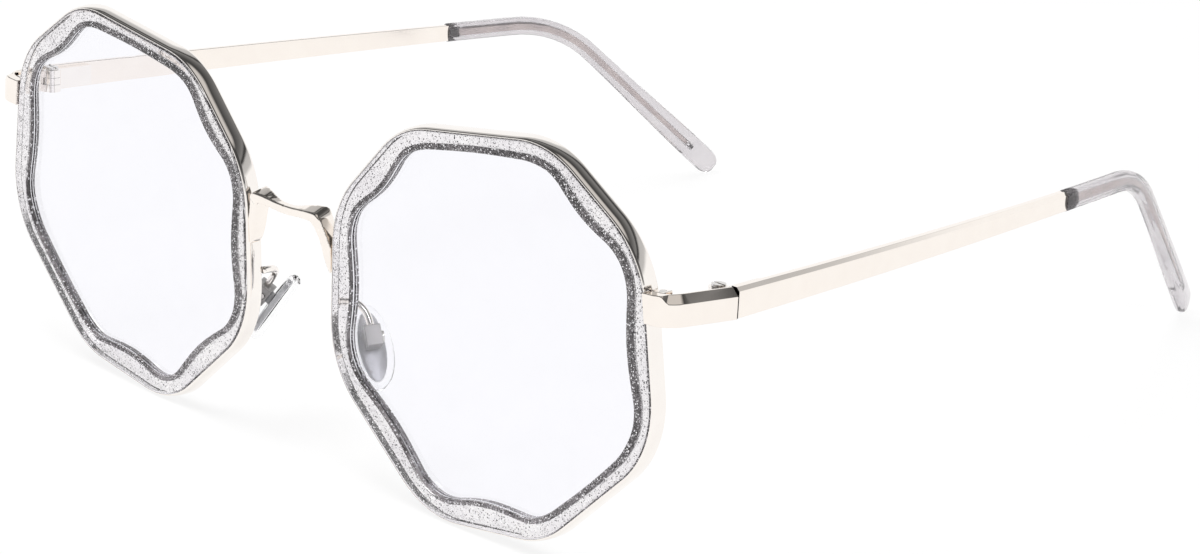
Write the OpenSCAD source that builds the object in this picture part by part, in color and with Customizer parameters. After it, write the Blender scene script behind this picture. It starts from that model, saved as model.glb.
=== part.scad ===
// Octagonal glasses: metal rims round clear acetate rings, with folding temples and rocking nose pads.
// The wearer looks towards -Y. +X is the wearer's left, +Z is up, and the glasses stand on z = 0.

/* [Lens shape] */
// Middle of the bridge to the middle of each lens
eye_x = 37; // [35.5:0.5:40]
// Height of the top side above the lens centre
top_h = 24.4; // [23:0.2:26]
// Depth of the bottom side below the lens centre
bottom_h = 26.7; // [25:0.1:28]
// Reach of the upright temple side from the lens centre
temple_w = 28.8; // [28:0.1:29.5]
// Reach of the nose side from the lens centre, half way up
nose_w = 27.8; // [27:0.1:28.2]
// Radius of the eight outline corners
corner_r = 13.6; // [9:0.2:15]
// How far each octagon is turned, outer side up
octagon_turn = 7.5; // [5:0.5:10]

/* [Acetate ring] */
// Depth of the ring from front to back
ring_depth = 2.5; // [2.4:0.1:3]
// Width of the ring at its corners
ring_corner_w = 2.5; // [2:0.1:2.8]
// Width of the ring in the middle of its broad sides
ring_side_w = 3.5; // [3:0.1:4]
// Width of the ring in the middle of its two slim sides
ring_slim_w = 2.2; // [2:0.1:2.8]

/* [Metal rim] */
// Thickness of the rim band
rim_t = 0.5; // [0.4:0.05:0.7]
// Front edge of the rim behind the ring's front face
rim_front = 0.05; // [0:0.05:0.3]
// Back edge of the rim behind the ring's front face
rim_back = 2.35; // [2.2:0.05:2.6]
// Height of the rib inside the rim that holds the ring
rim_rib = 0.35; // [0.25:0.05:0.45]

/* [Lens] */
// Thickness of the lens
lens_t = 1.4; // [1.2:0.1:1.6]
// Radius of the front surface of the lens
lens_r = 420; // [300:10:600]
// Depth of the tongue round the lens in the ring
tongue = 0.7; // [0.5:0.1:0.8]

/* [Stance] */
// How far the tops of the lenses lean back
lean_back = 2.2; // [1:0.1:4]
// Wrap of each lens towards the temple
wrap = 1.5; // [0:0.5:4]

/* [Bridge] */
// Height of the top of the bridge shoulders above the lens centres
bridge_up = 8; // [7.4:0.1:8.8]
// Height of the bridge strap's front face in its middle
bridge_bar_h = 1.25; // [1.1:0.05:1.5]
// Length from the shoulders down to the ends of the feet
bridge_foot_h = 6.6; // [6:0.1:7.2]
// Width of the legs at the shoulders
bridge_leg_w = 1.35; // [1.2:0.05:1.5]
// Bridge shoulders inwards from the rims
shoulder_in = 1.3; // [1.1:0.05:1.6]
// Rise of the shoulders' back edge above their front edge
shoulder_rise = 0.6; // [0:0.1:1]

/* [End piece] */
// Height of the end piece and of the temple's front end
bar_h = 3.8; // [3.4:0.1:4.2]
// Thickness of the end piece
end_t = 1.35; // [1.2:0.05:1.5]
// Bevel along the upper outer edge of the end piece
end_bevel = 1; // [0.6:0.1:1.1]
// Height of the end piece above the lens centre, square to the temple side
end_v = 5.9; // [4.7:0.1:6.7]

/* [Hinge] */
// Hinge axis outwards from the temple side of the lens outline
hinge_out = 2.35; // [2:0.05:2.8]
// Hinge axis behind the lens plane
hinge_y = 10.1; // [9.5:0.1:11]
// Height of the hinge's middle above the lens centres
hinge_up = 9.2; // [8.8:0.1:9.6]
// Radius of the hinge barrels
barrel_r = 1.25; // [1.1:0.05:1.35]
// Height of the three hinge barrels together
barrel_h = 3.3; // [3.2:0.05:3.5]
// Split between end piece and temple behind the hinge axis
split_back = 0.7; // [0.5:0.05:0.8]
// Radius of the hinge screw
hinge_screw_r = 0.6; // [0.5:0.05:0.7]

/* [Temples] */
// Length of the metal bar from the hinge to the tip
bar_run = 74; // [70:1:78]
// Height of the bar at the tip
bar_end_h = 2.6; // [2.3:0.1:2.9]
// Thickness of the bar
bar_t = 1.3; // [1.1:0.05:1.4]
// Drop of the temples towards the back, in degrees
droop = 4; // [3:0.1:5]
// Length of straight tip before the ear bend
ear_run = 14; // [12:0.5:17]
// Radius of the temples' long inward bow
bow_r = 1040; // [800:20:1400]
// Radius of the ear bend
ear_r = 21; // [16:0.5:24]
// Slope of the tip after the ear bend
ear_slope = 46; // [38:1:50]
// Height of the tip's section at the bar
tip_h = 3; // [2.8:0.1:3.4]
// Thickness of the tip
tip_t = 2.2; // [2:0.1:2.6]
// Height of the tip's section near its end
tip_end_h = 4.2; // [3.6:0.1:5]

/* [Nose pads] */
// Length of each pad
pad_l = 12; // [11:0.2:12.6]
// Width of each pad
pad_w = 5.8; // [5.4:0.2:6.4]
// Thickness of each pad
pad_t = 2; // [1.8:0.1:2.4]
// Pad centre outwards from the nose side of the lens outline
pad_set = 1.5; // [1.3:0.1:2.3]
// Pad centre behind the lens plane
pad_y = 5.1; // [5:0.1:5.8]
// Depth of the pad centre below the lens centres
pad_down = 10.9; // [10.1:0.1:11.6]
// Diameter of the pad arm's wire
arm_d = 1; // [0.8:0.1:1.1]

/* [Hidden] */
$fn = 48;

silver = [0.86, 0.84, 0.80];
champagne = [0.90, 0.85, 0.78];
glitter = [0.78, 0.76, 0.79, 0.6];
clear_lens = [0.95, 0.95, 1.0, 0.25];
clear_grey = [0.72, 0.69, 0.70, 0.6];
clear_white = [0.92, 0.92, 0.93, 0.6];

// Clearance between pieces that are brazed or pushed together
snug = 0.05;
// Clearance round a screw's shank
screw_gap = 0.05;
// Clearance between pieces that swing past each other
swing_gap = 0.15;

// Plain vector help
function unit(v) = v / norm(v);
function mix(a, b, t) = a + (b - a) * t;
function dir2(a) = [cos(a), sin(a)];
// A smooth step from 0 at a to 1 at b
function swell(a, b, x) = let (t = max(0, min(1, (x - a) / (b - a)))) t * t * (3 - 2 * t);
function bezier(p, t) = pow(1 - t, 3) * p[0] + 3 * t * pow(1 - t, 2) * p[1]
    + 3 * t * t * (1 - t) * p[2] + pow(t, 3) * p[3];
function arc(centre, r, a0, a1, steps) =
    [for (k = [0:steps]) centre + r * dir2(mix(a0, a1, k / steps))];

// The octagon's corners, anticlockwise from the upper corner on the temple side.
// The nose side leans, and the two lower slanting sides are longer than the upper ones.
upper_side = 12;
top_out = 14.4;
top_in = -12;
nose_upper = 13.2;
nose_lower = -8.5;
nose_lean = 1.7;
nose_upper_u = nose_lean - nose_w;
nose_lower_u = -nose_lean - nose_w;
bottom_in = -13;
bottom_out = 8.5;
corners = [
    [temple_w, upper_side],
    [top_out, top_h],
    [top_in, top_h],
    [nose_upper_u, nose_upper],
    [nose_lower_u, nose_lower],
    [bottom_in, -bottom_h],
    [bottom_out, -bottom_h],
    [temple_w, -upper_side]
];
sides = len(corners);
function corner(i) = corners[(i + sides) % sides];
function side_dir(i) = unit(corner(i + 1) - corner(i));
function side_normal(i) = [side_dir(i)[1], -side_dir(i)[0]];
function side_angle(i) = atan2(side_normal(i)[1], side_normal(i)[0]);
function turn_at(i) = (side_angle(i) - side_angle(i - 1) + 720) % 360;
function arc_centre(i) =
    corner(i) - corner_r * (side_normal(i - 1) + side_normal(i))
        / (1 + side_normal(i - 1) * side_normal(i));

// The rounded octagon, moved outwards by grow
arc_steps = 8;
function octagon(grow) = [
    for (i = [0:sides - 1], k = [0:arc_steps])
        arc_centre(i) + (corner_r + grow) * dir2(side_angle(i - 1) + turn_at(i) * k / arc_steps)
];

// A walk round the outline, from the middle of corner i to the middle of the next one.
// It gives the outline's point and outward normal at the share t of that way.
function half_arc(i) = corner_r * turn_at(i) * PI / 360;
function side_start(i) = arc_centre(i) + corner_r * side_normal(i);
function side_length(i) = norm(arc_centre(i + 1 == sides ? 0 : i + 1) - arc_centre(i));
function walk_length(i) = half_arc(i) + side_length(i) + half_arc((i + 1) % sides);
function walk(i, t) = let (s = t * walk_length(i))
    s < half_arc(i) ? walk_arc(i, side_angle(i) - (half_arc(i) - s) / corner_r * 180 / PI)
    : s < half_arc(i) + side_length(i)
        ? [side_start(i) + side_dir(i) * (s - half_arc(i)), side_normal(i)]
    : walk_arc((i + 1) % sides,
        side_angle(i) + (s - half_arc(i) - side_length(i)) / corner_r * 180 / PI);
function walk_arc(i, a) = [arc_centre(i) + corner_r * dir2(a), dir2(a)];

// The ring's wavy opening: narrow at the corners and wide along the sides, moved outwards by grow
wave_steps = 14;
slim_sides = [1, 6];
function ring_width(i, t) =
    mix(search(i, slim_sides) ? ring_slim_w : ring_side_w, ring_corner_w, (1 + cos(360 * t)) / 2);
function opening(grow) = [
    for (i = [0:sides - 1], k = [0:wave_steps - 1])
        let (w = walk(i, k / wave_steps)) w[0] + w[1] * (grow - ring_width(i, k / wave_steps))
];

// Stand of the front: the rims' lowest point lies on the table
function turned(p) = [p[0] * cos(octagon_turn) - p[1] * sin(octagon_turn),
                      p[0] * sin(octagon_turn) + p[1] * cos(octagon_turn)];
rim_out = snug + rim_t;
eye_z = -min([for (p = octagon(rim_out)) let (q = turned(p))
    q[1] * cos(lean_back) - (q[0] * sin(wrap) + rim_back) * sin(lean_back)]);

// A point in a lens's own frame: outwards, backwards, upwards. It comes out in the part's frame.
function lean(p) = [p[0], p[1] * cos(lean_back) + p[2] * sin(lean_back),
                    p[2] * cos(lean_back) - p[1] * sin(lean_back)];
function wrapped(p) = [p[0] * cos(wrap) - p[1] * sin(wrap), p[0] * sin(wrap) + p[1] * cos(wrap), p[2]];
function lens_dir(p) = let (q = turned([p[0], p[2]])) lean(wrapped([q[0], p[1], q[1]]));
function lens_point(p) = [eye_x, 0, eye_z] + lens_dir(p);
module at_lens() {
    translate([eye_x, 0, eye_z]) rotate([-lean_back, 0, 0]) rotate([0, 0, wrap])
        rotate([0, -octagon_turn, 0]) children();
}
// A flat outline in the lens frame, from depth d0 to depth d1
module slab(d0, d1) {
    rotate([90, 0, 0]) translate([0, 0, -d1]) linear_extrude(d1 - d0) children();
}

// The hinge's place, and a point in its own frame: outwards, along the temple, along the hinge axis
hinge_x = eye_x + temple_w + hinge_out;
hinge_z = eye_z + hinge_up;
function hinge_dir(p) = [p[0], p[1] * cos(droop) + p[2] * sin(droop), p[2] * cos(droop) - p[1] * sin(droop)];
function hinge_point(p) = [hinge_x, hinge_y, hinge_z] + hinge_dir(p);
module at_hinge() {
    translate([hinge_x, hinge_y, hinge_z]) rotate([-droop, 0, 0]) children();
}

// Solid through a list of rings of points, all with as many points, the first ring at the back of the travel
module skin(rings) {
    n = len(rings[0]);
    m = len(rings);
    polyhedron(
        points = [for (r = rings) each r],
        faces = concat(
            [[for (i = [0:n - 1]) i]],
            [for (j = [0:m - 2], i = [0:n - 1]) each [
                [j * n + i, (j + 1) * n + i, (j + 1) * n + (i + 1) % n],
                [j * n + i, (j + 1) * n + (i + 1) % n, j * n + (i + 1) % n]]],
            [[for (i = [0:n - 1]) m * n - 1 - i]]),
        convexity = 6);
}
// A ring of section points [out, up] at place p, square to the travel
function ring_at(p, out, up, section) = [for (q = section) p + out * q[0] + up * q[1]];

// Flat bar with a bevel along its upper outer edge
function bar_section(t, h, bevel) =
    [[-t / 2, -h / 2], [t / 2, -h / 2], [t / 2, h / 2 - bevel], [t / 2 - bevel, h / 2], [-t / 2, h / 2]];
// Oval section with flattened sides
function oval_section(t, h, n) = [
    for (k = [0:n - 1]) let (c = cos(360 * k / n), s = sin(360 * k / n))
        [t / 2 * sign(c) * pow(abs(c), 0.75), h / 2 * sign(s) * pow(abs(s), 0.75)]
];

// Metal rims, rings and lenses
rib_front = 0.9;
rib_back = 1.5;
lock_gap = 0.3;
plate_front = -0.4;
plate_back = plate_front + end_t;
notch_h = bar_h + 2 * snug;
module left_metal_rim() {
    color(silver) at_lens() difference() {
        union() {
            slab(rim_front, rim_back) difference() {
                polygon(octagon(rim_out));
                polygon(octagon(snug));
            }
            slab(rib_front, rib_back) difference() {
                polygon(octagon(rim_out));
                polygon(octagon(snug - rim_rib));
            }
        }
        translate([temple_w - 1, -1, end_v - notch_h / 2])
            cube([2 + rim_out, 1 + plate_back + snug, notch_h]);
        translate([temple_w - 1, -1, end_v - lock_gap / 2]) cube([2 + rim_out, rim_back + 2, lock_gap]);
    }
}

lens_mid = 1.4;
lens_sag = lens_r - sqrt(pow(lens_r, 2) - pow(temple_w - 2, 2));
tongue_t = 0.8;
module left_acetate_ring() {
    color(glitter) at_lens() difference() {
        slab(0, ring_depth) polygon(octagon(0));
        slab(rib_front - snug, rib_back + snug) difference() {
            polygon(octagon(1));
            polygon(octagon(-rim_rib));
        }
        slab(-1, ring_depth + 1) polygon(opening(0));
        slab(lens_mid - tongue_t / 2 - snug, lens_mid + tongue_t / 2 + snug) polygon(opening(tongue + snug));
    }
}

module left_lens() {
    color(clear_lens) at_lens() {
        intersection() {
            slab(-lens_sag - lens_t, ring_depth + lens_t) polygon(opening(-snug));
            translate([0, lens_mid - lens_t / 2 - lens_sag + lens_r, 0]) difference() {
                sphere(r = lens_r, $fn = 360);
                sphere(r = lens_r - lens_t, $fn = 360);
            }
        }
        slab(lens_mid - tongue_t / 2, lens_mid + tongue_t / 2) difference() {
            polygon(opening(tongue));
            polygon(opening(-tongue));
        }
    }
}

// The end piece: a strip along the front of the rim, bent back at the corner towards the hinge.
// The bevel starts in the bend, and the plate on the rim has only a broken edge.
plate_depth = (plate_front + plate_back) / 2;
bar_splay = 8;
leaf_t = 1;
bar_in = leaf_t + 0.35;
bend_leg = 2.3;
plate_start = lens_point([temple_w + 2 * snug, plate_depth, end_v]);
plate_dir = lens_dir([1, 0, 0]);
plate_up = lens_dir([0, 0, 1]);
function front_bar_point(y) = let (x = bar_in + end_t / 2)
    hinge_point([x * cos(bar_splay) + y * sin(bar_splay), y * cos(bar_splay) - x * sin(bar_splay), 0]);
bar_dir = hinge_dir([sin(bar_splay), cos(bar_splay), 0]);
bar_up = hinge_dir([0, 0, 1]);
// The strip ends square to the glasses, just before the temple
split_gap = 0.2;
bar_stop = front_bar_point(
    (split_back - split_gap / 2 + (bar_in + end_t / 2) * sin(bar_splay)) / cos(bar_splay));
// Where the two straight stretches cross, seen from above
corner_run = let (d = bar_stop - plate_start)
    (d[0] * bar_dir[1] - d[1] * bar_dir[0]) / (plate_dir[0] * bar_dir[1] - plate_dir[1] * bar_dir[0]);
plate_corner = plate_start + plate_dir * corner_run;
corner_back = (plate_corner[1] - bar_stop[1]) / bar_dir[1];
bar_corner = bar_stop + bar_dir * corner_back;
bend_point = (plate_corner + bar_corner) / 2;
bend_from = bend_point - plate_dir * bend_leg;
bend_to = bend_point + bar_dir * bend_leg;
bend_steps = 12;
edge_bevel = 0.08;
bevel_from = 0.2;
bevel_full = 0.42;
function bend_place(t) = mix(mix(bend_from, bend_point, t), mix(bend_point, bend_to, t), t);
function bend_travel(t) = unit(mix(plate_dir, bar_dir, t));
function strip_ring(p, travel, up, t, h, bevel) =
    let (out = unit(cross(travel, up)), rise = cross(out, travel))
    ring_at(p, out, rise, bar_section(t, h, bevel));
module left_end_piece() {
    color(champagne) skin(concat(
        [strip_ring(plate_start, plate_dir, plate_up, end_t, bar_h, edge_bevel)],
        [for (k = [0:bend_steps]) let (t = k / bend_steps)
            strip_ring(bend_place(t), bend_travel(t), unit(mix(plate_up, bar_up, t)), end_t, bar_h,
                mix(edge_bevel, end_bevel, swell(bevel_from, bevel_full, t)))],
        [strip_ring(bar_stop, hinge_dir([0, 1, 0]), bar_up, end_t, bar_h, end_bevel)]));
}

// The closing block behind the end piece: two halves on the rim's two ends, drawn together by a screw
lock_w = 1.7;
lock_h = (bar_h - 0.2) / 2;
lock_front = plate_back + snug;
lock_back = 2.6;
lock_screw_r = 0.4;
lock_head_r = 0.7;
lock_head_h = 0.4;
lock_x = temple_w + rim_out + snug;
lock_mid = (lock_front + lock_back) / 2;
module lock_half(bore_r) {
    difference() {
        translate([lock_x, lock_front, lock_gap / 2])
            cube([lock_w, lock_back - lock_front, lock_h - lock_gap / 2]);
        translate([lock_x + lock_w / 2, lock_mid, -1]) cylinder(r = bore_r, h = lock_h + 2, $fn = 24);
    }
}
module left_rim_lock_upper() {
    color(silver) at_lens() translate([0, 0, end_v]) lock_half(lock_screw_r + screw_gap);
}
module left_rim_lock_lower() {
    color(silver) at_lens() translate([0, 0, end_v]) mirror([0, 0, 1]) lock_half(lock_screw_r + screw_gap);
}
module left_rim_screw() {
    color(silver) at_lens() translate([lock_x + lock_w / 2, lock_mid, end_v - lock_h]) {
        cylinder(r = lock_screw_r, h = 2 * lock_h, $fn = 24);
        translate([0, 0, -lock_head_h]) cylinder(r = lock_head_r, h = lock_head_h, $fn = 24);
    }
}

// Hinge: two barrels on the end piece's leaf, one on the temple's leaf, and a screw down through them
barrel_mid = barrel_h / 3;
leaf_run = 5.5;
leaf_h = 3;
screw_head_r = 0.9;
screw_head_h = 0.35;
slot_w = 0.3;
slot_h = 0.2;
leaf_x = bar_in - leaf_t;
module barrel(z0, z1) {
    translate([0, 0, z0]) cylinder(r = barrel_r, h = z1 - z0);
}
module front_leaf_blank() {
    for (s = [-1, 1]) translate([0, 0, s * (barrel_h + barrel_mid) / 4]) {
        cylinder(r = barrel_r, h = (barrel_h - barrel_mid) / 2, center = true);
        translate([0, -barrel_r - swing_gap - 0.1, -(barrel_h - barrel_mid) / 4])
            cube([bar_in - snug, barrel_r + swing_gap, (barrel_h - barrel_mid) / 2]);
    }
    translate([leaf_x, -leaf_run, -leaf_h / 2])
        cube([leaf_t - snug, leaf_run - barrel_r - swing_gap, leaf_h]);
}
module left_front_hinge_leaf() {
    color(silver) at_hinge() rotate([0, 0, -bar_splay]) difference() {
        front_leaf_blank();
        cylinder(r = hinge_screw_r + screw_gap, h = 2 * barrel_h, center = true);
    }
}
module left_hinge_screw() {
    color(silver) at_hinge() {
        translate([0, 0, -barrel_h / 2]) cylinder(r = hinge_screw_r, h = barrel_h);
        translate([0, 0, barrel_h / 2 + snug / 2]) difference() {
            cylinder(r = screw_head_r, h = screw_head_h);
            translate([-screw_head_r, -slot_w / 2, screw_head_h - slot_h])
                cube([2 * screw_head_r, slot_w, 1]);
        }
        translate([0, 0, barrel_h / 2]) cylinder(r = hinge_screw_r, h = snug);
    }
}
temple_turn = 3.1;
module left_temple_hinge_leaf() {
    mid_h = barrel_mid - 2 * screw_gap;
    color(silver) at_hinge() rotate([0, 0, temple_turn]) difference() {
        union() {
            cylinder(r = barrel_r, h = mid_h, center = true);
            translate([0, 0, -mid_h / 2]) cube([bar_in - 2 * swing_gap, barrel_r + swing_gap + 0.1, mid_h]);
            translate([leaf_x, barrel_r + swing_gap, -leaf_h / 2]) cube([leaf_t - snug, leaf_run, leaf_h]);
        }
        cylinder(r = hinge_screw_r + screw_gap, h = 2 * barrel_h, center = true);
    }
}

// The temple's middle line: straight, then bent down behind the ear, and bowed inwards
ear_lean = 0.115;
bend_start = bar_run + ear_run;
bend_arc = ear_r * (ear_slope - droop) * PI / 180;
bend_end_y = bend_start * cos(droop) + ear_r * (sin(ear_slope) - sin(droop));
bend_end_z = -bend_start * sin(droop) - ear_r * (cos(droop) - cos(ear_slope));
tip_low = tip_end_h / 2 * cos(ear_slope) * 0.62;
tip_drop = (hinge_z + bend_end_z - tip_low) / sin(ear_slope);
temple_length = bend_start + bend_arc + tip_drop;
// Side view of the middle line at length s: back and up from the hinge
function side_place(s) =
    s < bend_start ? [s * cos(droop), -s * sin(droop)]
    : s < bend_start + bend_arc ? let (a = droop + (s - bend_start) / ear_r * 180 / PI)
        [bend_start * cos(droop) + ear_r * (sin(a) - sin(droop)),
         -bend_start * sin(droop) - ear_r * (cos(droop) - cos(a))]
    : let (d = s - bend_start - bend_arc) [bend_end_y + d * cos(ear_slope), bend_end_z - d * sin(ear_slope)];
function inward(s) = let (y = side_place(s)[0])
    y * tan(temple_turn) + pow(y, 2) / (2 * bow_r) + ear_lean * max(0, s - bend_start);
temple_x0 = bar_in + bar_t / 2;
function temple_place(s) = let (p = side_place(s))
    [hinge_x + temple_x0 - inward(s), hinge_y + p[0], hinge_z + p[1]];
function temple_travel(s) = unit(temple_place(s + 0.5) - temple_place(s - 0.5));
function temple_ring(s, section) = let (t = temple_travel(s), out = unit([t[1], -t[0], 0]))
    ring_at(temple_place(s), out, cross(out, t), section);

// The metal temple: a flat tapered bar that goes on as a thin core inside the tip
temple_bevel = 0.5;
core_w = 1.5;
core_t = 0.9;
core_end_w = 1;
core_short = 6;
core_stop = temple_length - core_short;
shoulder = 0.8;
core_steps = 20;
oval_sides = 20;
function core_ring(s, grow) = let (t = (s - bar_run) / (core_stop - bar_run))
    temple_ring(s, oval_section(mix(core_t, core_end_w, t) + 2 * grow,
        mix(core_w, core_end_w, t) + 2 * grow, oval_sides));
module left_temple_bar() {
    color(champagne) {
        skin([for (k = [0:10]) let (s = mix(split_back + split_gap / 2, bar_run, k / 10))
            temple_ring(s, bar_section(bar_t, mix(bar_h, bar_end_h, k / 10), temple_bevel))]);
        skin([for (k = [0:core_steps]) core_ring(mix(bar_run - shoulder, core_stop, k / core_steps), 0)]);
    }
}

// The tip: a clear sleeve over the core, that widens towards its rounded end
tip_steps = 34;
end_steps = 6;
tip_wide_from = 0.45;
tip_round = 2.6;
tip_from = bar_run + snug;
function tip_share(s) = (s - tip_from) / (temple_length - tip_from);
tip_flat = 0.3;
function end_round(s) = s < temple_length - tip_round ? 1
    : mix(tip_flat, 1, sqrt(max(0, 1 - pow((s - temple_length + tip_round) / tip_round, 2))));
function tip_height(s) = mix(tip_h, tip_end_h, swell(tip_wide_from, 0.95, tip_share(s)));
// Rings lie closer together round the end
function tip_stop(k) = let (far = temple_length - tip_round)
    k < tip_steps - end_steps ? mix(tip_from, far, k / (tip_steps - end_steps))
    : far + tip_round * sin(90 * (k - tip_steps + end_steps) / end_steps);
module left_temple_tip() {
    // From the bottom of the core's hole out to the front face, and back along the outside
    color(clear_grey) skin(concat(
        [for (k = [core_steps:-1:0]) core_ring(mix(tip_from, core_stop + snug, k / core_steps), snug)],
        [for (k = [0:tip_steps]) let (s = tip_stop(k), r = end_round(s))
            temple_ring(s, oval_section(tip_t * r, tip_height(s) * r, oval_sides))]));
}

// Bridge: a bent strap, skinned through sections from the middle out to the end of each foot.
// Its back edge rises at the shoulders, and its feet lie along the rims and thin out downwards.
bridge_dip = 0.25;
shoulder_r = 1.2;
inner_r = 0.9;
bridge_top_z = eye_z + bridge_up;
leg_drop = 4.4;
foot_drop = 1.3;
foot_set = 0.1;
foot_depth = 2;
foot_w = 1.6;
foot_end_w = 0.15;
bridge_set = 0.7;
bridge_depth = 1.25;
leave_z = bridge_top_z - leg_drop;
bridge_low_z = bridge_top_z - foot_drop - bridge_foot_h;
// The nose wall of the rim at height z, at its front edge and at its back edge
wall_low = lens_point([nose_lower_u - rim_out, rim_front, nose_lower]);
wall_high = lens_point([nose_upper_u - rim_out, rim_front, nose_upper]);
function wall_x(z) = mix(wall_low[0], wall_high[0], (z - wall_low[2]) / (wall_high[2] - wall_low[2]))
    - snug - (rim_back - rim_front) * sin(wrap);
shoulder_x = wall_x(bridge_top_z) - shoulder_in;
foot_y = lens_point([-nose_w - rim_out, rim_front + foot_set, 0])[1]
    + ((bridge_low_z + leave_z) / 2 - eye_z) * sin(lean_back);
bridge_front_y = foot_y - bridge_set;
// One half of the strap's upper or lower line, from the middle out to the shoulder's bend
function top_line(reach, z, dip, steps) = [
    for (k = [0:steps]) let (t = k / steps)
        [k == 0 ? -0.01 : t * reach, z - dip * (1 + cos(180 * t)) / 2]
];
// A list without its first point
function rest(points) = [for (k = [1:len(points) - 1]) points[k]];
shoulder_end_angle = 15;
inner_end_angle = 20;
line_steps = 6;
turn_steps = 6;
leg_steps = 3;
foot_steps = 4;
shoulder_turn = arc([shoulder_x - shoulder_r, bridge_top_z - shoulder_r], shoulder_r,
    90, shoulder_end_angle, turn_steps);
outer_edge = concat(
    top_line(shoulder_x - shoulder_r, bridge_top_z, bridge_dip, line_steps),
    rest(shoulder_turn),
    [for (k = [1:leg_steps])
        mix(shoulder_turn[turn_steps], [wall_x(leave_z), leave_z], k / leg_steps)],
    [for (k = [1:foot_steps]) let (z = mix(leave_z, bridge_low_z, k / foot_steps)) [wall_x(z), z]]);
inner_x = shoulder_x - bridge_leg_w;
under_z = bridge_top_z - bridge_bar_h;
inner_turn = arc([inner_x - inner_r, under_z - inner_r], inner_r, 90, inner_end_angle, turn_steps);
foot_end = [wall_x(bridge_low_z) - foot_end_w, bridge_low_z];
leg_mid_drop = 3.9;
leg_low_drop = 6.1;
leg_mid_share = 0.33;
leg_knots = [inner_turn[turn_steps],
    [mix(inner_x, foot_end[0], leg_mid_share), bridge_top_z - leg_mid_drop],
    [foot_end[0] + foot_end_w - foot_w, bridge_top_z - leg_low_drop], foot_end];
inner_edge = concat(
    top_line(inner_x - inner_r, under_z, bridge_dip, line_steps),
    rest(inner_turn),
    [for (k = [1:leg_steps + foot_steps]) bezier(leg_knots, k / (leg_steps + foot_steps))]);
function strap_ring(k) = let (
    u = k / (len(outer_edge) - 1),
    a = inner_edge[k], b = outer_edge[k],
    front = mix(bridge_front_y, foot_y, swell(0.55, 0.8, u)),
    back = mix(bridge_front_y + bridge_depth, foot_y + foot_depth, swell(0.05, 0.45, u)),
    rise = shoulder_rise * swell(0.02, 0.27, u) * (1 - swell(0.32, 0.6, u)))
    [[a[0], front, a[1]], [b[0], front, b[1]], [b[0], back, b[1] + rise], [a[0], back, a[1] + rise / 2]];
module bridge() {
    color(champagne) for (s = [0, 1]) mirror([s, 0, 0])
        skin([for (k = [len(outer_edge) - 1:-1:0]) strap_ring(k)]);
}

// Nose pads. In a pad's own frame x points away from the nose, y backwards and z up along the pad.
pad_turns = [4, -36, -31];
pivot_x = 2.3;
pivot_z = 0.7;
pad_x = eye_x - nose_w + pad_set;
pad_z = eye_z - pad_down;
module at_pad() {
    translate([pad_x, pad_y, pad_z]) rotate(pad_turns) children();
}
function pad_dir(p) = let (
    a = pad_turns[0], b = pad_turns[1], c = pad_turns[2],
    q = [p[0], p[1] * cos(a) - p[2] * sin(a), p[1] * sin(a) + p[2] * cos(a)],
    r = [q[0] * cos(b) + q[2] * sin(b), q[1], q[2] * cos(b) - q[0] * sin(b)])
    [r[0] * cos(c) - r[1] * sin(c), r[0] * sin(c) + r[1] * cos(c), r[2]];
function pad_point(p) = [pad_x, pad_y, pad_z] + pad_dir(p);

pad_core_t = 0.6;
core_inset = 1.1;
tab_t = 1;
tab_w = 1.5;
pad_screw_r = 0.4;
box_wall = 0.55;
box_t = 2.3;
box_h = 2.8;
box_front = pivot_x - tab_w / 2 - snug;
cavity_h = 2;
box_in = tab_t + 2 * screw_gap;
box_w = box_in + 2 * box_wall;
pad_head_r = 0.75;
pad_head_h = 0.35;
pad_round = 1.3;
// Outline of the pad: an oval that is fuller at the bottom
function pad_oval(grow) = [
    for (k = [0:27]) let (a = 360 * k / 28)
        [(pad_w / 2 + grow) * cos(a) * (1 - 0.06 * sin(a)), (pad_l / 2 + grow) * sin(a)]
];
function pad_ring(x, grow) = [for (q = pad_oval(grow)) [x, q[0], q[1]]];
module left_nose_pad() {
    color(clear_white) at_pad() difference() {
        skin([for (k = [-3:3]) pad_ring(pad_t / 2 * sin(30 * k), -pad_round * (1 - cos(30 * k)))]);
        core_blank(snug);
    }
}
module core_blank(grow) {
    translate([-grow, 0, 0]) rotate([90, 0, 90]) linear_extrude(pad_core_t + 2 * grow)
        polygon(pad_oval(grow - core_inset));
    translate([pad_core_t / 2, -tab_t / 2 - grow, pivot_z - tab_w / 2 - grow])
        cube([pivot_x - pad_core_t / 2, tab_t + 2 * grow, tab_w + 2 * grow]);
}
module left_pad_core() {
    color(silver) at_pad() difference() {
        union() {
            core_blank(0);
            translate([pivot_x, tab_t / 2, pivot_z]) rotate([90, 0, 0])
                cylinder(r = tab_w / 2, h = tab_t, $fn = 32);
        }
        translate([pivot_x, box_w, pivot_z]) rotate([90, 0, 0])
            cylinder(r = pad_screw_r + screw_gap, h = 2 * box_w, $fn = 32);
    }
}
// The box is open towards the pad, and the tab rocks in it on the screw
module left_pad_box() {
    color(silver) at_pad() translate([pivot_x, 0, pivot_z]) difference() {
        translate([box_front - pivot_x, -box_w / 2, -box_h / 2]) cube([box_t, box_w, box_h]);
        translate([-box_t, -box_in / 2, -cavity_h / 2])
            cube([box_t + tab_w / 2 + swing_gap, box_in, cavity_h]);
        translate([0, box_w, 0]) rotate([90, 0, 0])
            cylinder(r = pad_screw_r + screw_gap, h = 2 * box_w, $fn = 32);
    }
}
module left_pad_screw() {
    color(silver) at_pad() translate([pivot_x, 0, pivot_z]) rotate([-90, 0, 0]) {
        translate([0, 0, -box_w / 2]) cylinder(r = pad_screw_r, h = box_w + snug, $fn = 32);
        translate([0, 0, box_w / 2 + snug]) cylinder(r = pad_head_r, h = pad_head_h, $fn = 32);
    }
}

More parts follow.
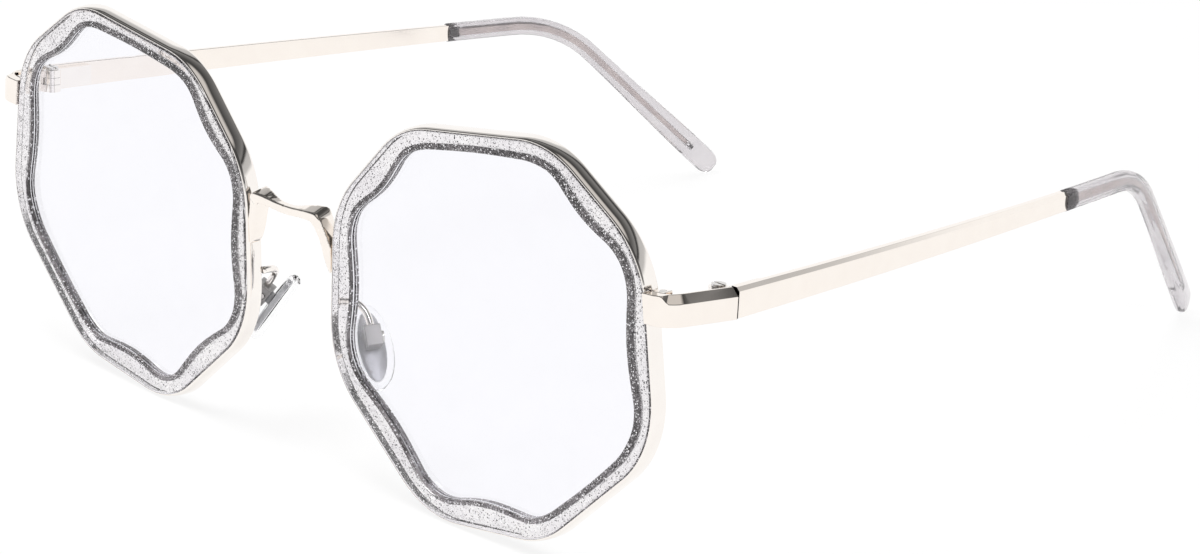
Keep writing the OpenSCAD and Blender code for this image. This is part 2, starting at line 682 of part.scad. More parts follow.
// The pad arm: a wire from the back of the rim, in a loop down to the box.
// It stands on the nose side of the outline, between that side's two corners.
foot_v = -0.3;
foot_u = mix(nose_lower_u, nose_upper_u, (foot_v - nose_lower) / (nose_upper - nose_lower));
arm_foot = lens_point([foot_u - snug - arm_d / 2, rim_back + snug, foot_v]);
arm_end = pad_point([box_front + box_t / 2, 0, pivot_z + box_h / 2 + snug]);
arm_down = pad_dir([0, 0, -1]);
arm_back = lens_dir([0, 1, 0]);
arm_reach = 2.6;
arm_rise = 3;
arm_knots = [arm_foot, arm_foot + arm_back * arm_reach, arm_end - arm_down * arm_rise, arm_end];
arm_steps = 22;
function arm_travel(t) = unit(bezier(arm_knots, min(1, t + 0.01)) - bezier(arm_knots, max(0, t - 0.01)));
function round_section(d, n) = [for (k = [0:n - 1]) d / 2 * dir2(360 * k / n)];
module left_pad_arm() {
    color(champagne) skin([for (k = [0:arm_steps]) let (
        t = k / arm_steps, p = bezier(arm_knots, t), v = arm_travel(t), out = unit(cross(v, [0.4, 0.2, 1])))
        ring_at(p, out, cross(out, v), round_section(arm_d, 12))]);
}

// The part's origin: the middle of its outer size, seen from above, at the table
back_y = temple_place(temple_length)[1];
front_y = lens_point([0, 0, -bottom_h])[1];
mid_y = (front_y + back_y) / 2;
module placed(right) {
    translate([0, -mid_y, 0]) mirror([right ? 1 : 0, 0, 0]) children();
}

placed(false) bridge();
placed(false) left_lens();
placed(true) left_lens();  // right_lens
placed(false) left_acetate_ring();
placed(true) left_acetate_ring();  // right_acetate_ring
placed(false) left_metal_rim();
placed(true) left_metal_rim();  // right_metal_rim
placed(false) left_end_piece();
placed(true) left_end_piece();  // right_end_piece
placed(false) left_rim_lock_upper();
placed(true) left_rim_lock_upper();  // right_rim_lock_upper
placed(false) left_rim_lock_lower();
placed(true) left_rim_lock_lower();  // right_rim_lock_lower
placed(false) left_rim_screw();
placed(true) left_rim_screw();  // right_rim_screw
placed(false) left_front_hinge_leaf();
placed(true) left_front_hinge_leaf();  // right_front_hinge_leaf
placed(false) left_hinge_screw();
placed(true) left_hinge_screw();  // right_hinge_screw
placed(false) left_temple_hinge_leaf();
placed(true) left_temple_hinge_leaf();  // right_temple_hinge_leaf
placed(false) left_temple_bar();
placed(true) left_temple_bar();  // right_temple_bar
placed(false) left_temple_tip();
placed(true) left_temple_tip();  // right_temple_tip
placed(false) left_pad_arm();
placed(true) left_pad_arm();  // right_pad_arm
placed(false) left_pad_box();
placed(true) left_pad_box();  // right_pad_box
placed(false) left_pad_screw();
placed(true) left_pad_screw();  // right_pad_screw
placed(false) left_pad_core();
placed(true) left_pad_core();  // right_pad_core
placed(false) left_nose_pad();
placed(true) left_nose_pad();  // right_nose_pad
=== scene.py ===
"""Looks for the octagonal glasses: materials, soft edges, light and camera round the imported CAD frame."""
import math
from functools import partial

import bmesh
import bpy
from mathutils import Matrix, Vector


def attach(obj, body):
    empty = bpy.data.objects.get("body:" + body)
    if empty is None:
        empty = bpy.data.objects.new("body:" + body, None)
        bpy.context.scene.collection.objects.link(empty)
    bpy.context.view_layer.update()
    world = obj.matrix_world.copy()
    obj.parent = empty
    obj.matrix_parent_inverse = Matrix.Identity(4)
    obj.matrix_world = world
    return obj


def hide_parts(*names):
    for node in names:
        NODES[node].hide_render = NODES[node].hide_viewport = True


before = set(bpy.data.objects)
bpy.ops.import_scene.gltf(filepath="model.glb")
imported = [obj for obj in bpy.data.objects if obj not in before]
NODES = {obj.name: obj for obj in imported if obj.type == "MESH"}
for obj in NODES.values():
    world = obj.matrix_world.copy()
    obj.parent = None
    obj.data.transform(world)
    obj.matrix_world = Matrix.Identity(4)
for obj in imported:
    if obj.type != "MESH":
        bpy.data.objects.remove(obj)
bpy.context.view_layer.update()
scene = bpy.context.scene
scene.view_settings.view_transform = "Standard"
MM = 0.001
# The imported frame's y less the y in which the camera and the sizes were fitted, in mm
SHIFT_Y = -66.8427

# Camera: the photograph's place, direction and lens, fitted in pixels of an image 1200 wide
IMAGE_WIDTH = 1200
FOCAL_PIXELS = 2962.133
CENTRE_PIXELS = (1.013, -0.361)
eye = Vector((294.9304, -232.0140 + SHIFT_Y, 155.7297)) * MM
right = Vector((0.6995355, 0.7145946, 0.0021668))
up = Vector((-0.2367344, 0.2288825, 0.9442296))
back = Vector((0.6742454, -0.6610351, 0.3292806))
cam_data = bpy.data.cameras.new("camera")
cam_data.sensor_width = 36
cam_data.lens = FOCAL_PIXELS * cam_data.sensor_width / IMAGE_WIDTH
cam_data.shift_x = CENTRE_PIXELS[0] / IMAGE_WIDTH
cam_data.shift_y = CENTRE_PIXELS[1] / IMAGE_WIDTH
cam_data.clip_start = 0.01
cam_data.clip_end = 20
camera = bpy.data.objects.new("camera", cam_data)
camera.matrix_world = Matrix((
    (right.x, up.x, back.x, eye.x),
    (right.y, up.y, back.y, eye.y),
    (right.z, up.z, back.z, eye.z),
    (0, 0, 0, 1)))
scene.collection.objects.link(camera)
scene.camera = camera


def colour(c):
    return (*c[:3], 1.0) if len(c) == 3 else c


class Graph:
    """A node tree of a material or the world, with short calls for what is needed here."""

    def __init__(self, name, kept_in=bpy.data.materials, output="ShaderNodeOutputMaterial"):
        self.owner = kept_in.new(name)
        self.owner.use_nodes = True
        self.tree = self.owner.node_tree
        self.tree.nodes.clear()
        self.out = self.add(output)

    def add(self, kind, **values):
        node = self.tree.nodes.new(kind)
        for key, value in values.items():
            setattr(node, key, value)
        return node

    def link(self, a, b):
        self.tree.links.new(a, b)

    def place(self):
        """The object's own coordinates in millimetres, which move with the piece."""
        return self.vector("SCALE", self.add("ShaderNodeTexCoord").outputs["Object"], "Scale", 1 / MM)

    def vector(self, operation, a, name, b, output=0):
        """Vector maths between the socket a and the fixed value b, which goes into the input name."""
        node = self.add("ShaderNodeVectorMath", operation=operation)
        node.inputs[name].default_value = b
        self.link(a, node.inputs[0])
        return node.outputs[output]

    def noise(self, where, scale, detail=3.0, rough=0.5):
        """Noise with features about 1 / scale millimetres apart."""
        node = self.add("ShaderNodeTexNoise")
        node.inputs["Scale"].default_value = scale
        node.inputs["Detail"].default_value = detail
        node.inputs["Roughness"].default_value = rough
        self.link(where, node.inputs["Vector"])
        return node.outputs["Fac"]

    def ramp(self, fac, stops):
        node = self.add("ShaderNodeValToRGB")
        ends = node.color_ramp.elements
        ends[0].position, ends[0].color = stops[0][0], colour(stops[0][1])
        ends[1].position, ends[1].color = stops[-1][0], colour(stops[-1][1])
        for at, col in stops[1:-1]:
            ends.new(at).color = colour(col)
        self.link(fac, node.inputs[0])
        return node.outputs["Color"]

    def fit(self, value, span, onto):
        """Maps the span of a value onto another one, and holds it at its ends."""
        node = self.add("ShaderNodeMapRange")
        for i, v in enumerate((*span, *onto)):
            node.inputs[i + 1].default_value = v
        self.link(value, node.inputs[0])
        return node.outputs[0]

    def maths(self, operation, a, b=None):
        node = self.add("ShaderNodeMath", operation=operation)
        for i, v in enumerate((a, b)):
            if v is None:
                continue
            if isinstance(v, (int, float)):
                node.inputs[i].default_value = v
            else:
                self.link(v, node.inputs[i])
        return node.outputs[0]

    def mix(self, fac, a, b):
        """Mixes two colours, each a socket or a fixed one."""
        node = self.add("ShaderNodeMix", data_type="RGBA")
        self.link(fac, node.inputs[0])
        for i, v in ((6, a), (7, b)):
            if isinstance(v, tuple):
                node.inputs[i].default_value = colour(v)
            else:
                self.link(v, node.inputs[i])
        return node.outputs[2]

    def blend(self, fac, a, b):
        """Mixes two shaders."""
        node = self.add("ShaderNodeMixShader")
        for i, v in enumerate((fac, a, b)):
            self.link(v, node.inputs[i])
        return node.outputs[0]

    def bump(self, height, strength, distance):
        node = self.add("ShaderNodeBump")
        node.inputs["Strength"].default_value = strength
        node.inputs["Distance"].default_value = distance
        self.link(height, node.inputs["Height"])
        return node.outputs[0]

    def surface(self, **plain):
        node = self.add("ShaderNodeBsdfPrincipled")
        for key, value in plain.items():
            node.inputs[key.replace("_", " ")].default_value = value
        return node

    def finish(self, shader, clear=0.0):
        """Links the shader. A clear piece lets that share of the light past it in shadows."""
        if clear:
            ray = self.add("ShaderNodeLightPath")
            share = self.maths("MULTIPLY", ray.outputs["Is Shadow Ray"], clear)
            shader = self.blend(share, shader, self.add("ShaderNodeBsdfTransparent").outputs[0])
        self.link(shader, self.out.inputs["Surface"])
        return self.owner


# Where the end pieces end and the temples start: the middle of the split lies 0.7 mm behind the hinge's
# axis along the temple, which droops by 4 degrees. The gap there lies in shade, and the metal beside it is
# painted near black as painted shade up to 0.2 mm from the middle. The gap takes up half of that, which
# leaves a tenth of a millimetre of painted shade to each edge.
HINGE_Y, HINGE_Z = 10.1 + SHIFT_Y, 37.308
DROOP = math.radians(4)
SPLIT_WAY = (0, math.cos(DROOP), -math.sin(DROOP))
SPLIT_AT = HINGE_Y * SPLIT_WAY[1] + HINGE_Z * SPLIT_WAY[2] + 0.7
SPLIT_SHADE_REACH = 0.2
SPLIT_SHADE_COLOUR = (0.03, 0.027, 0.025)


# Polished plated metal: faint clouding, hairline scratches along y and a slightly uneven gloss, and, where
# split is given, painted shade along the split
def metal(name, light, deep, rough, metallic=1.0, split=None):
    g = Graph(name)
    where = g.place()
    cloud = g.noise(where, scale=0.35, detail=4)
    hair = g.noise(g.vector("MULTIPLY", where, 1, (9, 1.2, 9)), scale=3.0, detail=5, rough=0.7)
    fine = g.noise(where, scale=14, detail=2)
    s = g.surface(Metallic=metallic)
    tone = g.ramp(cloud, [(0.3, deep), (0.7, light)])
    # Painted shade: near the split the colour turns near black, standing in for the shade in the gap
    if split:
        along = g.vector("DOT_PRODUCT", where, 1, SPLIT_WAY, "Value")
        away = g.maths("ABSOLUTE", g.maths("SUBTRACT", along, split))
        tone = g.mix(g.maths("LESS_THAN", away, SPLIT_SHADE_REACH), tone, SPLIT_SHADE_COLOUR)
    g.link(tone, s.inputs["Base Color"])
    gloss = g.fit(hair, (0.35, 0.75), (rough * 0.7, rough * 1.5))
    g.link(g.maths("ADD", gloss, g.fit(cloud, (0.4, 0.8), (0, 0.01))), s.inputs["Roughness"])
    height = g.maths("ADD", g.maths("MULTIPLY", hair, 0.6), g.maths("MULTIPLY", fine, 0.4))
    g.link(g.bump(height, strength=0.12, distance=0.00001), s.inputs["Normal"])
    return g.finish(s.outputs[0])


DARK_FLAKE = (0.05, 0.045, 0.05)
BRIGHT_FLAKE = (0.97, 0.96, 0.98)


# Clear moulded acetate with metal glitter in it: few large flakes and many fine ones
def glitter(name, deep, pale, see_through, dark_share, bright_share, contrast, size=1.0):
    g = Graph(name)
    where = g.place()

    def flakes(scale, reach, part):
        """Dots in cells, scale to the millimetre: that part of the dark share, and of the bright one."""
        cells = g.add("ShaderNodeTexVoronoi")
        cells.inputs["Scale"].default_value = scale
        g.link(where, cells.inputs["Vector"])
        tint = g.add("ShaderNodeSeparateColor")
        g.link(cells.outputs["Color"], tint.inputs[0])
        radius = g.fit(tint.outputs[1], (0, 1), (reach * 0.6, reach))
        dot = g.maths("LESS_THAN", cells.outputs["Distance"], radius)
        dark = g.maths("MULTIPLY", dot, g.maths("GREATER_THAN", tint.outputs[0], 1 - dark_share * part))
        bright = g.maths("MULTIPLY", dot, g.maths("LESS_THAN", tint.outputs[0], bright_share * part))
        return dark, bright

    dark_a, bright_a = flakes(scale=3.6 / size, reach=0.42, part=1.0)
    dark_b, bright_b = flakes(scale=6.5 / size, reach=0.46, part=0.7)
    dark, bright = g.maths("MAXIMUM", dark_a, dark_b), g.maths("MAXIMUM", bright_a, bright_b)
    haze = g.noise(where, scale=1.3, detail=5, rough=0.7)
    drift = g.fit(g.noise(where, scale=0.16, detail=1), (0.35, 0.65), (-contrast, contrast))
    body = g.ramp(g.maths("ADD", haze, drift), [(0.5 - contrast, deep), (0.5 + contrast, pale)])
    s = g.surface(IOR=1.49)
    g.link(g.mix(bright, g.mix(dark, body, DARK_FLAKE), BRIGHT_FLAKE), s.inputs["Base Color"])
    solid = g.maths("MAXIMUM", dark, bright)
    open_share = g.maths("SUBTRACT", 1.0, solid)
    g.link(g.maths("MULTIPLY", open_share, see_through), s.inputs["Transmission Weight"])
    g.link(g.maths("MULTIPLY", bright, 0.6), s.inputs["Metallic"])
    g.link(g.fit(solid, (0, 1), (0.02, 0.30)), s.inputs["Roughness"])
    g.link(g.bump(haze, strength=0.08, distance=0.00003), s.inputs["Normal"])
    return g.finish(s.outputs[0], clear=0.75)


# Clear plastic: a tint, a soft clouding and a slightly uneven gloss
def clear(name, light, deep, ior, rough, weight, shadow, wave=0.05):
    g = Graph(name)
    where = g.place()
    cloud = g.noise(where, scale=0.25, detail=3)
    s = g.surface(IOR=ior, Transmission_Weight=weight)
    g.link(g.ramp(cloud, [(0.3, deep), (0.7, light)]), s.inputs["Base Color"])
    gloss = g.fit(g.noise(where, scale=2.0, detail=4), (0.3, 0.7), (rough * 0.6, rough * 1.4))
    g.link(gloss, s.inputs["Roughness"])
    g.link(g.bump(cloud, strength=wave, distance=0.00002), s.inputs["Normal"])
    return g.finish(s.outputs[0], clear=shadow)


# The pads' refraction is lower than silicone's, because the photo shows them almost without lines
MATERIALS = {
    "gold": metal("pale_gold_plate", light=(0.97, 0.91, 0.85), deep=(0.95, 0.885, 0.825), rough=0.07,
                  split=SPLIT_AT),
    "silver": metal("silver_plate", light=(0.965, 0.925, 0.885), deep=(0.945, 0.90, 0.86), rough=0.06),
    "steel": metal("screw_steel", light=(0.80, 0.79, 0.77), deep=(0.66, 0.64, 0.62), rough=0.16),
    "ring": glitter("glitter_acetate", deep=(0.83, 0.805, 0.83), pale=(0.925, 0.905, 0.91),
                    see_through=1.0, dark_share=0.16, bright_share=0.2, contrast=0.2),
    # Painted shade: a near black glitter for the ring's inner wall, where refraction shows the wall dark
    "cut": glitter("cut_glitter_acetate", deep=(0.055, 0.05, 0.05), pale=(0.28, 0.26, 0.27),
                   see_through=0.15, dark_share=0.2, bright_share=0.3, contrast=0.12, size=1.5),
    "lens": clear("lens_plastic", light=(0.95, 0.948, 0.985), deep=(0.94, 0.938, 0.975), ior=1.5,
                  rough=0.01, weight=1.0, shadow=0.95, wave=0.0),
    "tip": clear("grey_acetate", light=(0.77, 0.74, 0.755), deep=(0.68, 0.655, 0.68), ior=1.49,
                 rough=0.05, weight=0.93, shadow=0.6),
    "pad": clear("pad_silicone", light=(0.995, 0.995, 1.0), deep=(0.98, 0.98, 0.985), ior=1.18,
                 rough=0.03, weight=1.0, shadow=0.8),
    "core": metal("pad_core_plate", light=(0.50, 0.50, 0.515), deep=(0.45, 0.45, 0.47), rough=0.3,
                  metallic=0.4),
    "box": metal("pad_box_plate", light=(0.40, 0.39, 0.385), deep=(0.34, 0.33, 0.325), rough=0.2,
                 metallic=0.5),
    "inside": metal("rim_inside", light=(1.0, 0.98, 1.0), deep=(0.97, 0.95, 0.98), rough=0.6, metallic=0.0),
}

# The lens outline, as in the CAD, in mm and degrees: eight rounded sides, walked from corner to corner.
# Side i runs from corner i to the next, and 7 is the temple side.
OUT = {"eye": (37.0, 0.0, 28.1077), "turn": 7.5, "lean": 2.2, "wrap": 1.5, "r": 13.6}
CORNERS = [(28.8, 12), (14.4, 24.4), (-12, 24.4), (-26.1, 13.2),
           (-29.5, -8.5), (-13, -26.7), (8.5, -26.7), (28.8, -12)]
TEMPLE_SIDE = 7
PER_SIDE = 30


def outline():
    """Closed walk round the outline: (point, outward normal, side, share of the way along it)."""
    n = len(CORNERS)
    pts = [Vector(c) for c in CORNERS]
    dirs = [(pts[(i + 1) % n] - pts[i]).normalized() for i in range(n)]
    norms = [Vector((d.y, -d.x)) for d in dirs]
    centres = [pts[i] - OUT["r"] * (norms[i - 1] + norms[i]) / (1 + norms[i - 1].dot(norms[i]))
               for i in range(n)]
    angle = [math.atan2(v.y, v.x) for v in norms]
    turn = [(angle[i] - angle[i - 1]) % (2 * math.pi) for i in range(n)]
    half = [OUT["r"] * t / 2 for t in turn]
    walk = []
    for i in range(n):
        j = (i + 1) % n
        length = (centres[j] - centres[i]).length
        total = half[i] + length + half[j]
        for k in range(PER_SIDE):
            at = k / PER_SIDE * total
            if half[i] <= at < half[i] + length:
                p = centres[i] + OUT["r"] * norms[i] + dirs[i] * (at - half[i])
                walk.append((p, norms[i], i, k / PER_SIDE))
                continue
            if at < half[i]:
                a, c = angle[i] - (half[i] - at) / OUT["r"], centres[i]
            else:
                a, c = angle[i] + (at - half[i] - length) / OUT["r"], centres[j]
            v = Vector((math.cos(a), math.sin(a)))
            walk.append((c + OUT["r"] * v, v, i, k / PER_SIDE))
    return walk


def in_frame(p, depth, side):
    """A point of the lens's own plane, depth behind its front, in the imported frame's metres."""
    o, w, b = (math.radians(OUT[k]) for k in ("turn", "wrap", "lean"))
    x, z = p.x * math.cos(o) - p.y * math.sin(o), p.x * math.sin(o) + p.y * math.cos(o)
    x, y = x * math.cos(w) - depth * math.sin(w), x * math.sin(w) + depth * math.cos(w)
    y, z = y * math.cos(b) + z * math.sin(b), z * math.cos(b) - y * math.sin(b)
    return (side * (OUT["eye"][0] + x) * MM, (y + SHIFT_Y) * MM, (OUT["eye"][2] + z) * MM)


def rounded(corner, a, b, ru, rd, steps=5):
    """An elliptic quarter round a corner (u, depth), from the edge in direction a to the one in
    direction b, with the radii ru and rd."""
    cu, cd = corner[0] + (a[0] + b[0]) * ru, corner[1] + (a[1] + b[1]) * rd
    out = []
    for k in range(steps + 1):
        t = math.pi / 2 * k / steps
        out.append((cu - b[0] * ru * math.cos(t) - a[0] * ru * math.sin(t),
                    cd - b[1] * rd * math.cos(t) - a[1] * rd * math.sin(t)))
    return out


# Points of a new mesh that lie closer than this, in metres, are one
SAME_POINT = 1e-7


def mesh_object(name, verts, faces, slots, mats, body, *stands_for):
    """A closed mesh that rides on a body in place of CAD nodes. slots has each face's place in mats."""
    mesh = bpy.data.meshes.new(name)
    mesh.from_pydata(verts, [], faces)
    for mat in mats:
        mesh.materials.append(mat)
    mesh.polygons.foreach_set("material_index", slots)
    bm = bmesh.new()
    bm.from_mesh(mesh)
    bmesh.ops.remove_doubles(bm, verts=bm.verts, dist=SAME_POINT)
    bmesh.ops.dissolve_degenerate(bm, edges=bm.edges, dist=SAME_POINT)
    bmesh.ops.recalc_face_normals(bm, faces=bm.faces)
    bm.to_mesh(mesh)
    bm.free()
    mesh.shade_smooth()
    obj = bpy.data.objects.new(name, mesh)
    scene.collection.objects.link(obj)
    weight = obj.modifiers.new("even_normals", "WEIGHTED_NORMAL")
    weight.weight = 80
    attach(obj, body)
    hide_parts(*stands_for)


def swept(stations, section, side, joined=True, inner=()):
    """Tube round the outline, whose section (u, depth) may change with the station. Unless it is
    joined, it has flat ends. Faces that start at the section's points in inner take the second material."""
    rings = [[in_frame(p + n * u, d, side) for u, d in section(*place)] for p, n, *place in stations]
    m, n = len(rings), len(rings[0])
    verts = [v for r in rings for v in r]
    spans = range(m if joined else m - 1)
    faces = [(j * n + k, ((j + 1) % m) * n + k, ((j + 1) % m) * n + (k + 1) % n, j * n + (k + 1) % n)
             for j in spans for k in range(n)]
    slots = [int(k in inner) for j in spans for k in range(n)]
    if not joined:
        faces += [tuple(range(n)), tuple(range((m - 1) * n, m * n))]
        slots += [0, 0]
    return verts, faces, slots


# The acetate ring, in mm: its width at the corners and in the middle of a wide and of a narrow side, its
# depth, and the lens's groove, with its depth and where it starts and ends
RING_CORNER, RING_WIDE, RING_NARROW = 2.5, 3.5, 2.2
NARROW_SIDES = (1, 6)
RING_DEPTH = 2.5
GROOVE_DEPTH, GROOVE_START, GROOVE_END = 0.75, 0.95, 1.85
# Radii of its edges. The front outer one swings up and down once round the ring. It is largest at
# corner 7 of the left ring and at corner 3 of the right one, which both face the camera's side.
SOFT_FRONT, SOFT_SWING, SOFT_CORNER = 0.40, 0.22, 7
SOFT_INSIDE = 0.25
SOFT_BACK = 0.22
# The section points from which the faces of the ring's inner wall start, which get the painted shade: from
# the middle of its front rounding, through the groove, to the start of its back rounding
INNER_WALL = range(9, 18)


def ring_width(i, t):
    middle = RING_NARROW if i in NARROW_SIDES else RING_WIDE
    return middle + (RING_CORNER - middle) * (1 + math.cos(2 * math.pi * t)) / 2


def ring_section(side, i, t):
    """The acetate ring: rounded edges and the lens's groove. The rim's rib is left to the CAD, unseen."""
    w = ring_width(i, t)
    soft = SOFT_FRONT + SOFT_SWING * side * math.cos(2 * math.pi * (i + t - SOFT_CORNER) / len(CORNERS))
    front_out = rounded((0, 0), (0, 1), (-1, 0), soft, soft)
    front_in = rounded((-w, 0), (1, 0), (0, 1), SOFT_INSIDE, SOFT_INSIDE)
    floor = GROOVE_DEPTH - w
    groove = [(-w, GROOVE_START), (floor, GROOVE_START), (floor, GROOVE_END), (-w, GROOVE_END)]
    back_in = rounded((-w, RING_DEPTH), (0, -1), (1, 0), SOFT_BACK, SOFT_BACK)
    back_out = rounded((0, RING_DEPTH), (-1, 0), (0, -1), SOFT_BACK, SOFT_BACK)
    return front_out + front_in + groove + back_in + back_out


# The metal rim, in mm: how far outside the outline it starts and ends, from which depth to which, and
# the radii of its outer edges
RIM_IN, RIM_OUT = 0.05, 0.55
RIM_FRONT, RIM_BACK = 0.05, 2.35
FRONT_RADII, BACK_RADII = (0.42, 1.50), (0.24, 0.40)
RIM_STEPS = 7
# The section point from which the face of the rim's inside starts, the last one
RIM_INSIDE = (2 * RIM_STEPS + 3,)
# The end piece's place on the temple side: its middle, half the notch for it, half the rim's gap, and the
# depth to which the notch goes
END = {"v": 5.9, "notch": 1.95, "gap": 0.15, "floor": 1.0}


def rim_section(floor):
    """The metal rim: flat inside, and outside a flattened half round. Where the end piece lies over it,
    the rim starts at the depth floor."""
    front = rounded((RIM_OUT, RIM_FRONT), (-1, 0), (0, 1), *FRONT_RADII, RIM_STEPS)
    rear = rounded((RIM_OUT, RIM_BACK), (0, -1), (-1, 0), *BACK_RADII, RIM_STEPS)
    return [(u, max(d, floor)) for u, d in [(RIM_IN, RIM_FRONT)] + front + rear + [(RIM_IN, RIM_BACK)]]


def on_temple_side(v, floor):
    """A station of the rim at the height v on the temple side."""
    side = [s for s in STATIONS if s[2] == TEMPLE_SIDE]
    low, high = next((a, b) for a, b in zip(side, side[1:]) if a[0].y <= v < b[0].y)
    share = (v - low[0].y) / (high[0].y - low[0].y)
    return low[0].lerp(high[0], share), low[1].lerp(high[1], share).normalized(), floor


def rim_stations():
    """Stations of the rim once round, from above the gap to below it, with the notch at both ends."""
    def ends(sign):
        gap, edge = END["v"] + sign * END["gap"], END["v"] + sign * END["notch"]
        return [on_temple_side(gap, END["floor"]), on_temple_side(edge, END["floor"]), on_temple_side(edge, 0)]

    side = [(p, n, 0) for p, n, i, _ in STATIONS if i == TEMPLE_SIDE]
    upper = [s for s in side if s[0].y > END["v"] + END["notch"]]
    lower = [s for s in side if s[0].y < END["v"] - END["notch"]]
    others = [(p, n, 0) for p, n, i, _ in STATIONS if i != TEMPLE_SIDE]
    return ends(1) + upper + others + lower + ends(-1)[::-1]


STATIONS = outline()
for side, name in ((1, "left"), (-1, "right")):
    # The ring's inner wall takes the dark glitter, a painted shade
    mesh_object(name + "_ring_moulded", *swept(STATIONS, partial(ring_section, side), side, inner=INNER_WALL),
                (MATERIALS["ring"], MATERIALS["cut"]), "front", name + "_acetate_ring")
    mesh_object(name + "_rim_wire", *swept(rim_stations(), rim_section, side, joined=False, inner=RIM_INSIDE),
                (MATERIALS["silver"], MATERIALS["inside"]), "front", name + "_metal_rim")

# Each CAD node's material and the width of its bevels in mm. 0 is none, and None also keeps the CAD's
# own normals. The replaced rings and rims aren't seen, and the bridge is rounded in its own way.
WEAR = {
    "bridge": ("gold", 0.0), "lens": ("lens", None),
    "acetate_ring": ("ring", None), "metal_rim": ("silver", None),
    "end_piece": ("gold", 0.09), "rim_screw": ("steel", 0.04),
    "rim_lock_upper": ("silver", 0.08), "rim_lock_lower": ("silver", 0.08),
    "front_hinge_leaf": ("silver", None), "temple_hinge_leaf": ("silver", None),
    "hinge_screw": ("steel", 0.05), "temple_bar": ("gold", 0.09), "temple_tip": ("tip", 0.0),
    "pad_arm": ("silver", 0.0), "pad_box": ("box", 0.12), "pad_screw": ("steel", 0.04),
    "pad_core": ("core", 0.04), "nose_pad": ("pad", 0.0),
}
# These strips have rings of edges closer together than the bevel is wide, so it isn't clamped to them
OPEN_BEVEL = ("left_end_piece", "right_end_piece", "left_temple_bar", "right_temple_bar")
# The weld's distance in metres, and the bevels' steps and smallest angle
WELD_DISTANCE = 1e-6
BEVEL_SEGMENTS = 3
BEVEL_ANGLE = math.radians(32)
# The bridge's voxels in mm, and the strength and number of its smoothing passes
STRAP_VOXEL = 0.11
STRAP_SMOOTHING = 0.5
STRAP_PASSES = 24


def round_strap(obj):
    """Rounds the bridge. Its rings of edges are too close for a bevel, so it gets a fine even mesh, which
    is then smoothed."""
    fine = obj.modifiers.new("fine", "REMESH")
    fine.mode = "VOXEL"
    fine.voxel_size = STRAP_VOXEL * MM
    fine.use_smooth_shade = True
    soft = obj.modifiers.new("soft", "SMOOTH")
    soft.factor = STRAP_SMOOTHING
    soft.iterations = STRAP_PASSES


def round_edges(obj, width):
    bevel = obj.modifiers.new("edge", "BEVEL")
    bevel.width = width * MM
    bevel.segments = BEVEL_SEGMENTS
    bevel.limit_method = "ANGLE"
    bevel.angle_limit = BEVEL_ANGLE
    bevel.harden_normals = True
    bevel.use_clamp_overlap = obj.name not in OPEN_BEVEL
    bevel.miter_outer = "MITER_ARC"


def dress(obj, mat, edge):
    """Gives a CAD node its material, smooth shading and rounded edges."""
    mesh = obj.data
    mesh.materials.clear()
    mesh.materials.append(mat)
    if edge is None:
        return
    if "custom_normal" in mesh.attributes:
        mesh.attributes.remove(mesh.attributes["custom_normal"])
    mesh.shade_smooth()
    weld = obj.modifiers.new("weld", "WELD")
    weld.merge_threshold = WELD_DISTANCE
    if obj.name == "bridge":
        round_strap(obj)
    elif edge:
        round_edges(obj, edge)


for name, obj in NODES.items():
    key, edge = WEAR[name.replace("left_", "").replace("right_", "")]
    dress(obj, MATERIALS[key], edge)

# Floor and studio, in metres. The floor lies a hair below the object, and its glow is the share of its
# own white in what is seen of it.
FLOOR_HALF = 3
FLOOR_DROP = 0.00005
FLOOR_COLOUR = (0.86, 0.86, 0.86)
FLOOR_GLOW = 0.82


def floor_material():
    """White paper, which shows itself lit to the camera and in gloss and glass, and holds the shadow."""
    g = Graph("white_floor")
    ray = g.add("ShaderNodeLightPath")
    mirrored = g.maths("MAXIMUM", ray.outputs["Is Glossy Ray"], ray.outputs["Is Transmission Ray"])
    seen = g.maths("MAXIMUM", ray.outputs["Is Camera Ray"], mirrored)
    matt = g.add("ShaderNodeBsdfDiffuse")
    matt.inputs["Color"].default_value = colour(FLOOR_COLOUR)
    glow = g.add("ShaderNodeEmission")
    glow.inputs["Strength"].default_value = 1.0
    return g.finish(g.blend(g.maths("MULTIPLY", seen, FLOOR_GLOW), matt.outputs[0], glow.outputs[0]))


def lay_floor():
    mesh = bpy.data.meshes.new("floor")
    h = FLOOR_HALF
    mesh.from_pydata([(-h, -h, 0), (h, -h, 0), (h, h, 0), (-h, h, 0)], [], [(0, 1, 2, 3)])
    mesh.materials.append(floor_material())
    obj = bpy.data.objects.new("floor", mesh)
    obj.matrix_world = Matrix.Translation((0, 0, -FLOOR_DROP))
    scene.collection.objects.link(obj)


# The studio's brightness by height: white paper, its grey upper edge, and a dark room with one faint band.
# The height is the direction's z with a little of its x, and more in front (low y) and far left (low x).
SKY_TOP = 2
SKY = [(0, 1), (0.46, 1), (0.53, 0.55), (0.64, 0.5), (0.675, 0.05), (0.7, 0.04), (0.735, 0.22),
       (0.8, 0.14), (0.9, 0.06), (SKY_TOP, 0.08)]
SKY_TILT = 0.1
FRONT_SPAN, FRONT_RISE = (-0.25, 0), 0.3
LEFT_SPAN, LEFT_RISE = (-1, -0.5), 0.2
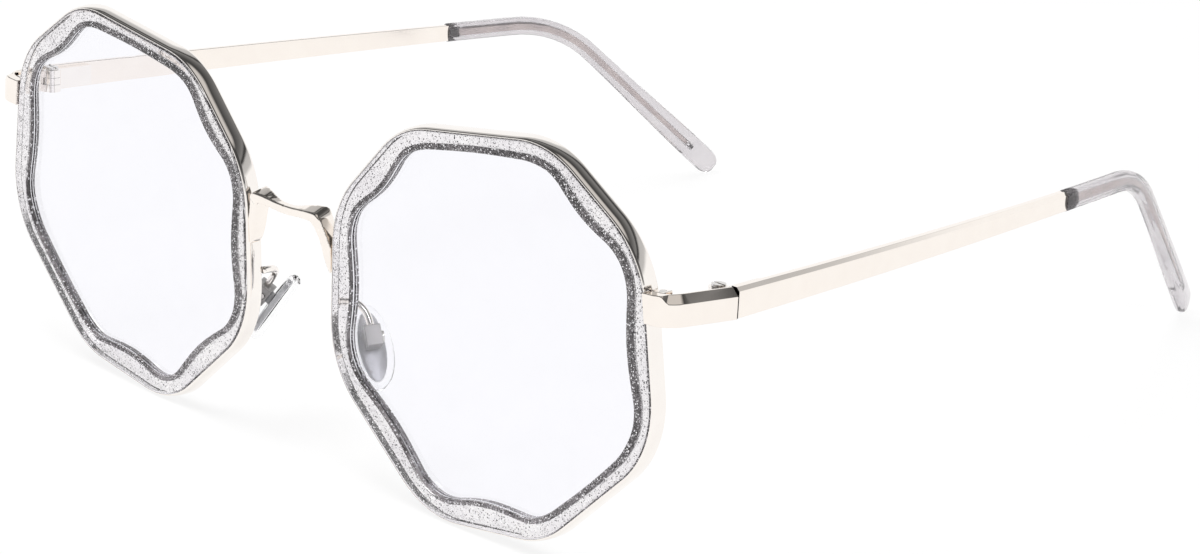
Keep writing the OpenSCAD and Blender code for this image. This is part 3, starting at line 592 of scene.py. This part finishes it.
# The softbox overhead: its direction, the cosines of the angles from it at which it has faded out and at
# which it is full, and its colour
BOX_WAY = (0.18, -0.08, 0.98)
BOX_FADE = (0.895, 0.955)
BOX_COLOUR = (0.62, 0.60, 0.58)


def studio_world():
    """White to the camera. To all else, paper up to some height all round, lower in front, on the right
    and far left, and above it a dark room with a softbox overhead."""
    g = Graph("studio", bpy.data.worlds, "ShaderNodeOutputWorld")
    sight = g.add("ShaderNodeTexCoord").outputs["Generated"]
    way = g.add("ShaderNodeSeparateXYZ")
    g.link(sight, way.inputs[0])
    x, y, z = way.outputs
    front = g.fit(y, FRONT_SPAN, (FRONT_RISE, 0))
    left = g.fit(x, LEFT_SPAN, (LEFT_RISE, 0))
    side = g.maths("ADD", g.maths("MULTIPLY", x, SKY_TILT), left)
    height = g.maths("ADD", z, g.maths("ADD", side, front))
    paper = g.ramp(g.maths("MULTIPLY", height, 1 / SKY_TOP), [(at / SKY_TOP, (v, v, v)) for at, v in SKY])
    over = g.fit(g.vector("DOT_PRODUCT", sight, 1, BOX_WAY, "Value"), BOX_FADE, (0, 1))
    sky, plain = g.add("ShaderNodeBackground"), g.add("ShaderNodeBackground")
    g.link(g.mix(over, paper, BOX_COLOUR), sky.inputs[0])
    plain.inputs[0].default_value = (1, 1, 1, 1)
    ray = g.add("ShaderNodeLightPath")
    scene.world = g.finish(g.blend(ray.outputs["Is Camera Ray"], sky.outputs[0], plain.outputs[0]))


LAMPS_AIM = Vector((0, 0, 0.02))


def lamp(name, place, size, power):
    """A square area lamp in metres and watts, which gloss doesn't show."""
    data = bpy.data.lights.new(name, "AREA")
    data.shape = "SQUARE"
    data.size = size
    data.energy = power
    obj = bpy.data.objects.new(name, data)
    obj.location = place
    obj.rotation_mode = "QUATERNION"
    obj.rotation_quaternion = (Vector(place) - LAMPS_AIM).to_track_quat("Z", "Y")
    obj.visible_glossy = False
    scene.collection.objects.link(obj)


lay_floor()
studio_world()
lamp("top_softbox", (-0.35, -0.35, 1.5), size=1.1, power=24)
lamp("side_softbox", (1.3, -0.5, 1.2), size=0.6, power=7)
